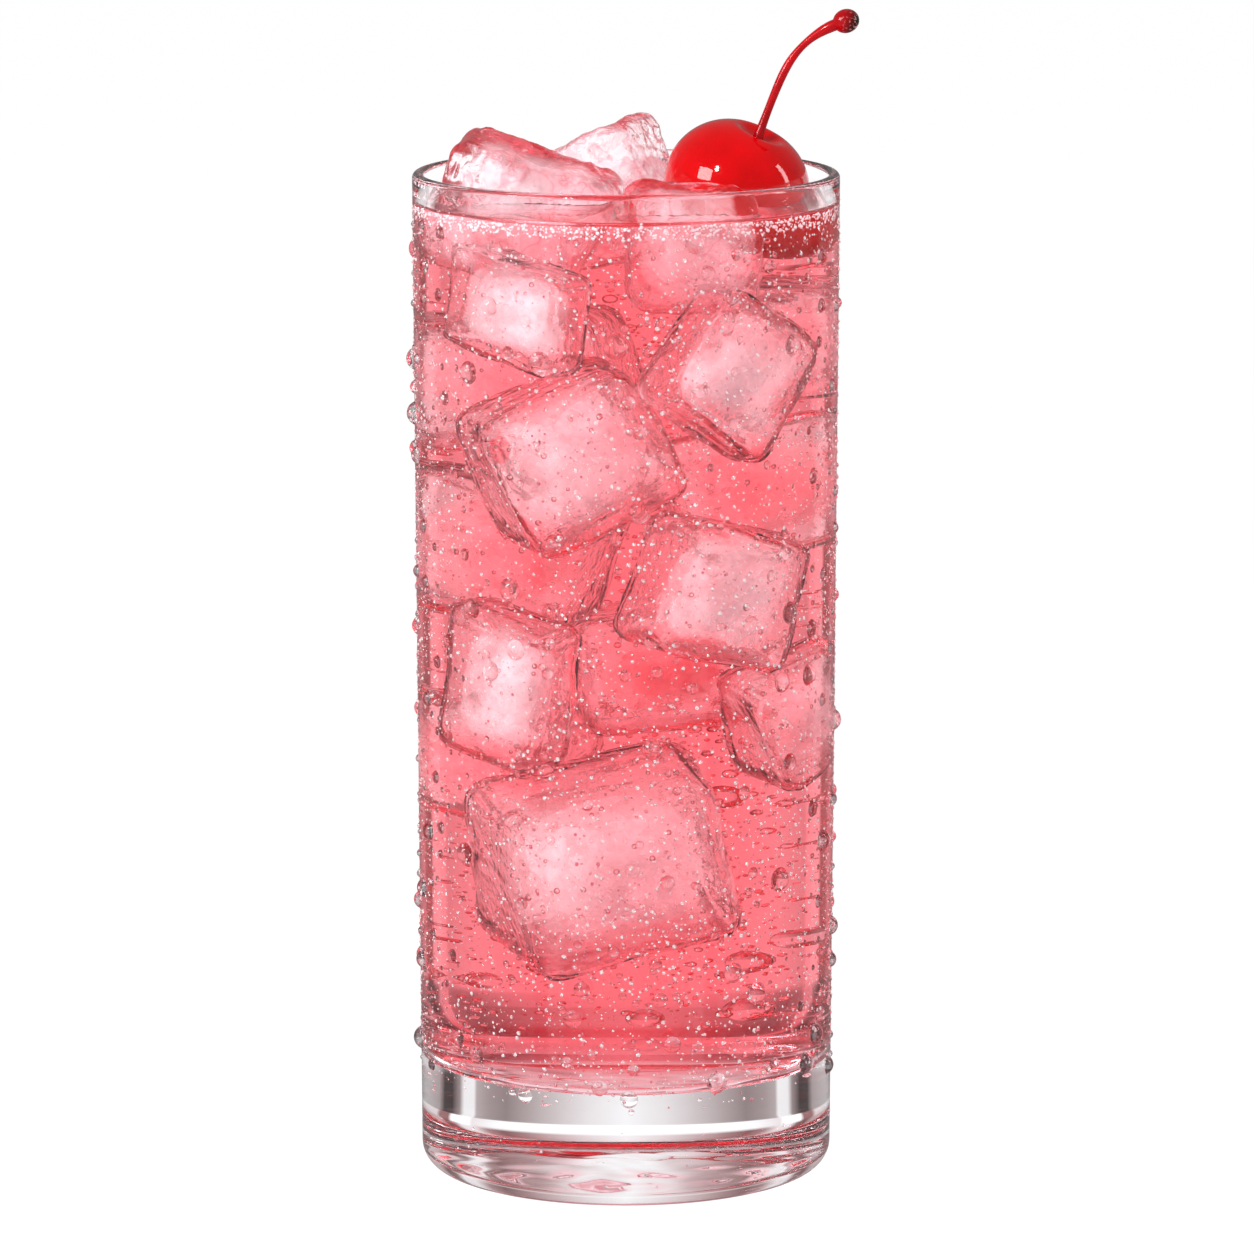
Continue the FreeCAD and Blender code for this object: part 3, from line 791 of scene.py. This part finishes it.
# It overlaps the glass, which doubles the reflection between them, so it hardly mirrors.
pink_drink, tree, output = new_material("pink_drink")
shader = principled(tree, output, Base_Color=(1.0, 1.0, 1.0, 1.0), Roughness=0.0, IOR=1.33,
                    Transmission_Weight=1.0, Specular_Tint=(0.15, 0.15, 0.15, 1))
let_lamps_through(tree, output, shader)
tint = tree.nodes.new("ShaderNodeVolumeAbsorption")
tint.inputs["Color"].default_value = (0.985, 0.055, 0.145, 1)
tint.inputs["Density"].default_value = 36.0
link(tree, tint.outputs[0], output.inputs["Volume"])

drink = new_piece("pink_drink", drink_mesh, pink_drink, casts_shadow=True)
shrunken = [grown(mesh, -ICE_SKIN) for mesh in floating.values()]
pockets = new_piece("pockets", joined("pockets", shrunken), pink_drink)
cut = drink.modifiers.new("pockets", "BOOLEAN")
cut.operation = "DIFFERENCE"
cut.solver = "MANIFOLD"
cut.object = pockets
hollowed = evaluated(drink)
drink.modifiers.clear()
bpy.data.objects.remove(pockets)
drink.data = joined("pink_drink", [hollowed, joined("hollows", hollows, flip=True)])
drink.data.materials.append(pink_drink)
drink.data.polygons.foreach_set("use_smooth", [True] * len(drink.data.polygons))
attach(drink, "root")
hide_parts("drink")


# ------------------------------------------------------------------------------ the bubbles
# Soda bubbles: a ring of foam round the wall at the surface, and single ones that cling to the
# wall and to the ice, mostly on its edges.

BAND_AROUND = 180               # corners and height of a row of a strewn band
BAND_ROW = 1.5 * MM
FOAM_BELOW = 1.7 * MM           # reach of the foam below and above the surface
FOAM_ABOVE = 0.2 * MM
FOAM_INSET = 0.36 * MM          # how far in from the wall the foam and the bubbles sit
BUBBLE_INSET = 0.55 * MM
OFF_ICE = 0.30 * MM             # how far off the ice they sit
WHOLE = -1.0                    # a cut this low leaves a ball whole


def scatter_tree():
    """A node tree that strews small round shapes over a surface."""
    tree = bpy.data.node_groups.new("strewn", "GeometryNodeTree")
    tree.interface.new_socket("Geometry", in_out="OUTPUT", socket_type="NodeSocketGeometry")
    for name, kind in (
        ("Surface", "Geometry"), ("Per square metre", "Float"), ("Spacing", "Float"),
        ("Smallest", "Float"), ("Largest", "Float"), ("Favour small", "Float"),
        ("Sink", "Float"), ("Cut", "Float"), ("Detail", "Int"), ("Seed", "Int"),
        ("Material", "Material"),
    ):
        tree.interface.new_socket(name, in_out="INPUT", socket_type=f"NodeSocket{kind}")
    given = tree.nodes.new("NodeGroupInput").outputs
    result = tree.nodes.new("NodeGroupOutput")
    thickness = tree.nodes.new("GeometryNodeInputNamedAttribute")
    thickness.data_type = "FLOAT"
    thickness.inputs["Name"].default_value = "thickness"
    points = tree.nodes.new("GeometryNodeDistributePointsOnFaces")
    points.distribute_method = "POISSON"
    link(tree, given["Surface"], points.inputs["Mesh"])
    link(tree, given["Spacing"], points.inputs["Distance Min"])
    link(tree, given["Per square metre"], points.inputs["Density Max"])
    link(tree, thickness.outputs["Attribute"], points.inputs["Density Factor"])
    link(tree, given["Seed"], points.inputs["Seed"])

    ball = tree.nodes.new("GeometryNodeMeshIcoSphere")
    link(tree, given["Detail"], ball.inputs["Subdivisions"])
    place = tree.nodes.new("GeometryNodeInputPosition")
    split = tree.nodes.new("ShaderNodeSeparateXYZ")
    link(tree, place.outputs[0], split.inputs[0])
    lowered = math_node(tree, "SUBTRACT", split.outputs["Z"], 0.0)
    link(tree, given["Sink"], lowered.node.inputs[1])
    height = math_node(tree, "MAXIMUM", lowered, 0.0)
    link(tree, given["Cut"], height.node.inputs[1])
    corner = tree.nodes.new("ShaderNodeCombineXYZ")
    link(tree, split.outputs["X"], corner.inputs["X"])
    link(tree, split.outputs["Y"], corner.inputs["Y"])
    link(tree, height, corner.inputs["Z"])
    shaped = tree.nodes.new("GeometryNodeSetPosition")
    link(tree, ball.outputs["Mesh"], shaped.inputs["Geometry"])
    link(tree, corner.outputs[0], shaped.inputs["Position"])

    chance = tree.nodes.new("FunctionNodeRandomValue")
    link(tree, given["Seed"], chance.inputs["Seed"])
    skewed = math_node(tree, "POWER", chance.outputs[1], 1.0)
    link(tree, given["Favour small"], skewed.node.inputs[1])
    radius = tree.nodes.new("ShaderNodeMapRange")
    link(tree, skewed, radius.inputs["Value"])
    link(tree, given["Smallest"], radius.inputs["To Min"])
    link(tree, given["Largest"], radius.inputs["To Max"])
    strewn = tree.nodes.new("GeometryNodeInstanceOnPoints")
    link(tree, points.outputs["Points"], strewn.inputs["Points"])
    link(tree, shaped.outputs[0], strewn.inputs["Instance"])
    link(tree, points.outputs["Rotation"], strewn.inputs["Rotation"])
    link(tree, radius.outputs["Result"], strewn.inputs["Scale"])
    real = tree.nodes.new("GeometryNodeRealizeInstances")
    link(tree, strewn.outputs[0], real.inputs[0])
    smooth = tree.nodes.new("GeometryNodeSetShadeSmooth")
    link(tree, real.outputs[0], smooth.inputs["Geometry"])
    painted = tree.nodes.new("GeometryNodeSetMaterial")
    link(tree, smooth.outputs[0], painted.inputs["Geometry"])
    link(tree, given["Material"], painted.inputs["Material"])
    link(tree, painted.outputs[0], result.inputs["Geometry"])
    return tree


STREWN = scatter_tree()


def strew(surface, **values):
    """The round shapes that the tree makes on a surface mesh, as a plain mesh."""
    holder = bpy.data.objects.new("surface", surface)
    scene.collection.objects.link(holder)
    modifier = holder.modifiers.new("strewn", "NODES")
    modifier.node_group = STREWN
    for item in STREWN.interface.items_tree:
        value = values.get(item.name.replace(" ", "_"))
        if item.in_out == "INPUT" and value is not None:
            modifier[item.identifier] = value
    mesh = evaluated(holder)
    bpy.data.objects.remove(holder)
    return mesh


def wall_band(radius_at, low, high, thickness_at):
    """An open band of a round wall, with a number on each vertex for how thickly it is strewn."""
    rows = max(int((high - low) / BAND_ROW), 3)
    places = []
    for row in range(rows + 1):
        z = low + (high - low) * row / rows
        for step in range(BAND_AROUND):
            a = 2 * math.pi * step / BAND_AROUND
            places.append((radius_at(z) * math.cos(a), radius_at(z) * math.sin(a), z))
    faces = []
    for row in range(rows):
        start = row * BAND_AROUND
        above = start + BAND_AROUND
        for step in range(BAND_AROUND):
            after = (step + 1) % BAND_AROUND
            faces.append((start + step, start + after, above + after, above + step))
    band = bpy.data.meshes.new("band")
    band.from_pydata(places, [], faces)
    thickness = band.attributes.new("thickness", "FLOAT", "POINT")
    thickness.data.foreach_set("value", [thickness_at(Vector(place)) for place in places])
    return band


air, tree, output = new_material("air")
shader = principled(tree, output, Roughness=0.0, IOR=0.75, Transmission_Weight=1.0)
speckle = mixed(tree, object_noise(tree, 500.0, 1.0, 0.0, 1.0), 1.0, 0.96)
link(tree, speckle, shader.inputs["Base Color"])

froth, tree, output = new_material("froth")
shader = principled(tree, output, Roughness=0.05, IOR=1.33, Transmission_Weight=0.25)
speckle = object_noise(tree, 900.0, 1.0, 0.0, 1.0)
link(tree, mixed(tree, speckle, (1.0, 0.94, 0.96), (1.0, 0.62, 0.67)), shader.inputs["Base Color"])


def foam_thickness(place):
    """Foam is thickest at its top."""
    risen = place.z - drink_level + FOAM_BELOW
    return 0.35 + 0.65 * risen / (FOAM_BELOW + FOAM_ABOVE)


foam_band = wall_band(lambda z: bore_radius(z) - FOAM_INSET, drink_level - FOAM_BELOW,
                      drink_level + FOAM_ABOVE, foam_thickness)
foam = strew(foam_band, Per_square_metre=1.3e7, Spacing=0.32 * MM, Smallest=0.12 * MM,
             Largest=0.34 * MM, Favour_small=1.4, Sink=0.0, Cut=WHOLE, Detail=1, Seed=4,
             Material=froth)
foam_ring = new_piece("foam_ring", foam, froth)
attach(foam_ring, "root")

clinging = []
for seed, mesh in enumerate([*sunk.values(), *floating.values()]):
    surface = grown(mesh, OFF_ICE)
    thickness = surface.attributes.new("thickness", "FLOAT", "POINT")
    edges = [item.value for item in surface.attributes["edge"].data]
    submerged = [vertex.co.z < drink_level - 1.0 * MM for vertex in surface.vertices]
    thickness.data.foreach_set("value", [
        (0.12 + 0.88 * min(1.5 * rounded, 1.0)) * under for rounded, under in zip(edges, submerged)
    ])
    clinging.append(strew(surface, Per_square_metre=1.1e5, Spacing=0.7 * MM, Smallest=0.13 * MM,
                          Largest=0.48 * MM, Favour_small=2.4, Sink=0.0, Cut=WHOLE, Detail=2,
                          Seed=seed, Material=air))
band = wall_band(lambda z: bore_radius(z) - BUBBLE_INSET, drink_floor + 3 * MM,
                 drink_level - 3 * MM, lambda place: 0.5 + 0.5 * wave(place, 9 * MM, 12))
clinging.append(strew(band, Per_square_metre=0.09e6, Spacing=1.0 * MM, Smallest=0.15 * MM,
                      Largest=0.55 * MM, Favour_small=2.0, Sink=0.0, Cut=WHOLE, Detail=2, Seed=8,
                      Material=air))
bubbles = new_piece("soda_bubbles", joined("soda_bubbles", clinging), air)
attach(bubbles, "root")


# ------------------------------------------------------------------------------ the dew
# Water that has condensed on the cold outside of the glass: fine beads all over it where the
# drink is behind it, some larger ones, and a few big drops about to run.

DEW_LOWEST = 6 * MM
DEW_HIGHEST = glass_top - 4 * MM
DEW_SUNK = 0.36                 # share of a drop's radius that is sunk into the wall
DEW_CUT = -0.10                 # and where below the wall the drop is cut off

water, tree, output = new_material("water")
shader = principled(tree, output, Roughness=0.0, IOR=1.33, Transmission_Weight=1.0)
speckle = mixed(tree, object_noise(tree, 500.0, 1.0, 0.0, 1.0), 1.0, 0.96)
link(tree, speckle, shader.inputs["Base Color"])

# Fine dew: its diffuse share is its own cloudiness; its white specks are painted glints and its
# dark red specks painted shade.
mist, tree, output = new_material("mist")
shader = principled(tree, output, Roughness=0.05, IOR=1.33, Transmission_Weight=0.72)
# Speckle of painted glints in white and painted shade in dark red.
speckle = object_noise(tree, 900.0, 1.0, -1.6, 1.5)
link(tree, mixed(tree, speckle, 1.0, (0.80, 0.26, 0.32)), shader.inputs["Base Color"])


def dew_thickness(place):
    """Dew thins out towards the rim and is nearly gone on the thick base."""
    above = min(max((place.z - drink_floor + 1.5 * MM) / (3 * MM), 0.03), 1.0)
    below = min(max((drink_level + 1.0 * MM - place.z) / (4 * MM), 0.05), 1.0)
    return above * below * (0.72 + 0.5 * wave(place, 8 * MM, 7))


dewy_wall = wall_band(wall_radius, DEW_LOWEST, DEW_HIGHEST, dew_thickness)
for name, liquid, values in (
    ("dew_specks", mist, dict(Per_square_metre=0.60e6, Spacing=0.50 * MM, Smallest=0.10 * MM,
                              Largest=0.22 * MM, Favour_small=1.2, Detail=1, Seed=24)),
    ("dew_fine", mist, dict(Per_square_metre=0.50e6, Spacing=0.66 * MM, Smallest=0.14 * MM,
                            Largest=0.40 * MM, Favour_small=1.9, Detail=1, Seed=21)),
    ("dew_beads", water, dict(Per_square_metre=0.05e6, Spacing=2.0 * MM, Smallest=0.34 * MM,
                              Largest=0.72 * MM, Favour_small=1.6, Detail=2, Seed=22)),
    ("dew_drops", water, dict(Per_square_metre=0.016e6, Spacing=4.2 * MM, Smallest=0.90 * MM,
                              Largest=1.95 * MM, Favour_small=1.6, Detail=3, Seed=25)),
):
    mesh = strew(dewy_wall.copy(), Sink=DEW_SUNK, Cut=DEW_CUT, Material=liquid, **values)
    dew = new_piece(name, mesh, liquid)
    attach(dew, "root")


# ------------------------------------------------------------------------------ the cherry
# A pitted cherry soaked in red syrup, glossy and wet, with its stalk left on.  It rests on the
# ice, half in the drink.  Both are the CAD solids, with looks of their own.

cherry_skin, tree, output = new_material("cherry_skin")
shader = principled(tree, output, IOR=1.06, Subsurface_Weight=0.12, Coat_Roughness=0.03)
shader.inputs["Coat IOR"].default_value = 1.45
shader.inputs["Subsurface Radius"].default_value = (1.0, 0.1, 0.05)
shader.inputs["Subsurface Scale"].default_value = 1.5 * MM
# The syrup on it shines in the air and can't be told from the drink below its surface.
height = coordinates(tree, "Object")["Z"]
wet = mapped(tree, height, drink_level - 0.5 * MM, drink_level + 0.5 * MM)
wet.inputs["To Max"].default_value = 0.9
link(tree, wet.outputs["Result"], shader.inputs["Coat Weight"])
mottled = object_noise(tree, 140.0, 2.0, 0.0, 1.0)
red = mixed(tree, mottled, (0.54, 0.0, 0.001), (0.70, 0.0, 0.002))
link(tree, red, shader.inputs["Base Color"])
link(tree, object_noise(tree, 300.0, 2.0, 0.12, 0.24), shader.inputs["Roughness"])
relief(tree, shader, 0.30, 0.12 * MM, object_noise(tree, 900.0, 3.0, 0.0, 1.0))
cherry = frame["nodes"]["cherry"]
cherry.data.materials.clear()
cherry.data.materials.append(cherry_skin)

# Its stalk is dark and blotched at the knob.
KNOB_ASIDE = 0.6 * MM           # how far in from the CAD box's corner the middle of the knob is
KNOB_DOWN = 2.2 * MM
stalk_low, stalk_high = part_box("cherry_stem")
stalk_skin, tree, output = new_material("stalk_skin")
shader = principled(tree, output, IOR=1.2, Coat_Weight=0.5, Coat_Roughness=0.06)
coords = tree.nodes.new("ShaderNodeTexCoord")
knob = tree.nodes.new("ShaderNodeVectorMath")
knob.operation = "DISTANCE"
link(tree, coords.outputs["Object"], knob.inputs[0])
knob.inputs[1].default_value = (
    stalk_high.x - KNOB_ASIDE, (stalk_low.y + stalk_high.y) / 2, stalk_high.z - KNOB_DOWN
)
dark_end = mapped(tree, knob.outputs["Value"], 1.2 * MM, 2.9 * MM)
dark_end.interpolation_type = "SMOOTHSTEP"
dark_end.inputs["To Min"].default_value = 1.0
dark_end.inputs["To Max"].default_value = 0.0
blotches = object_noise(tree, 220.0, 2.0, 0.0, 1.0)
red = mixed(tree, blotches, (0.36, 0.0, 0.003), (0.56, 0.001, 0.006))
specks = math_node(tree, "MAXIMUM", object_noise(tree, 2600.0, 1.0, -2.2, 1.0), 0.0)
dark = mixed(tree, specks, (0.020, 0.002, 0.003), (0.75, 0.30, 0.28))
link(tree, mixed(tree, dark_end.outputs["Result"], red, dark), shader.inputs["Base Color"])
link(tree, object_noise(tree, 500.0, 2.0, 0.20, 0.42), shader.inputs["Roughness"])
relief(tree, shader, 0.2, 0.10 * MM, object_noise(tree, 1500.0, 3.0, 0.0, 1.0))
stalk = frame["nodes"]["cherry_stem"]
stalk.data.materials.clear()
stalk.data.materials.append(stalk_skin)
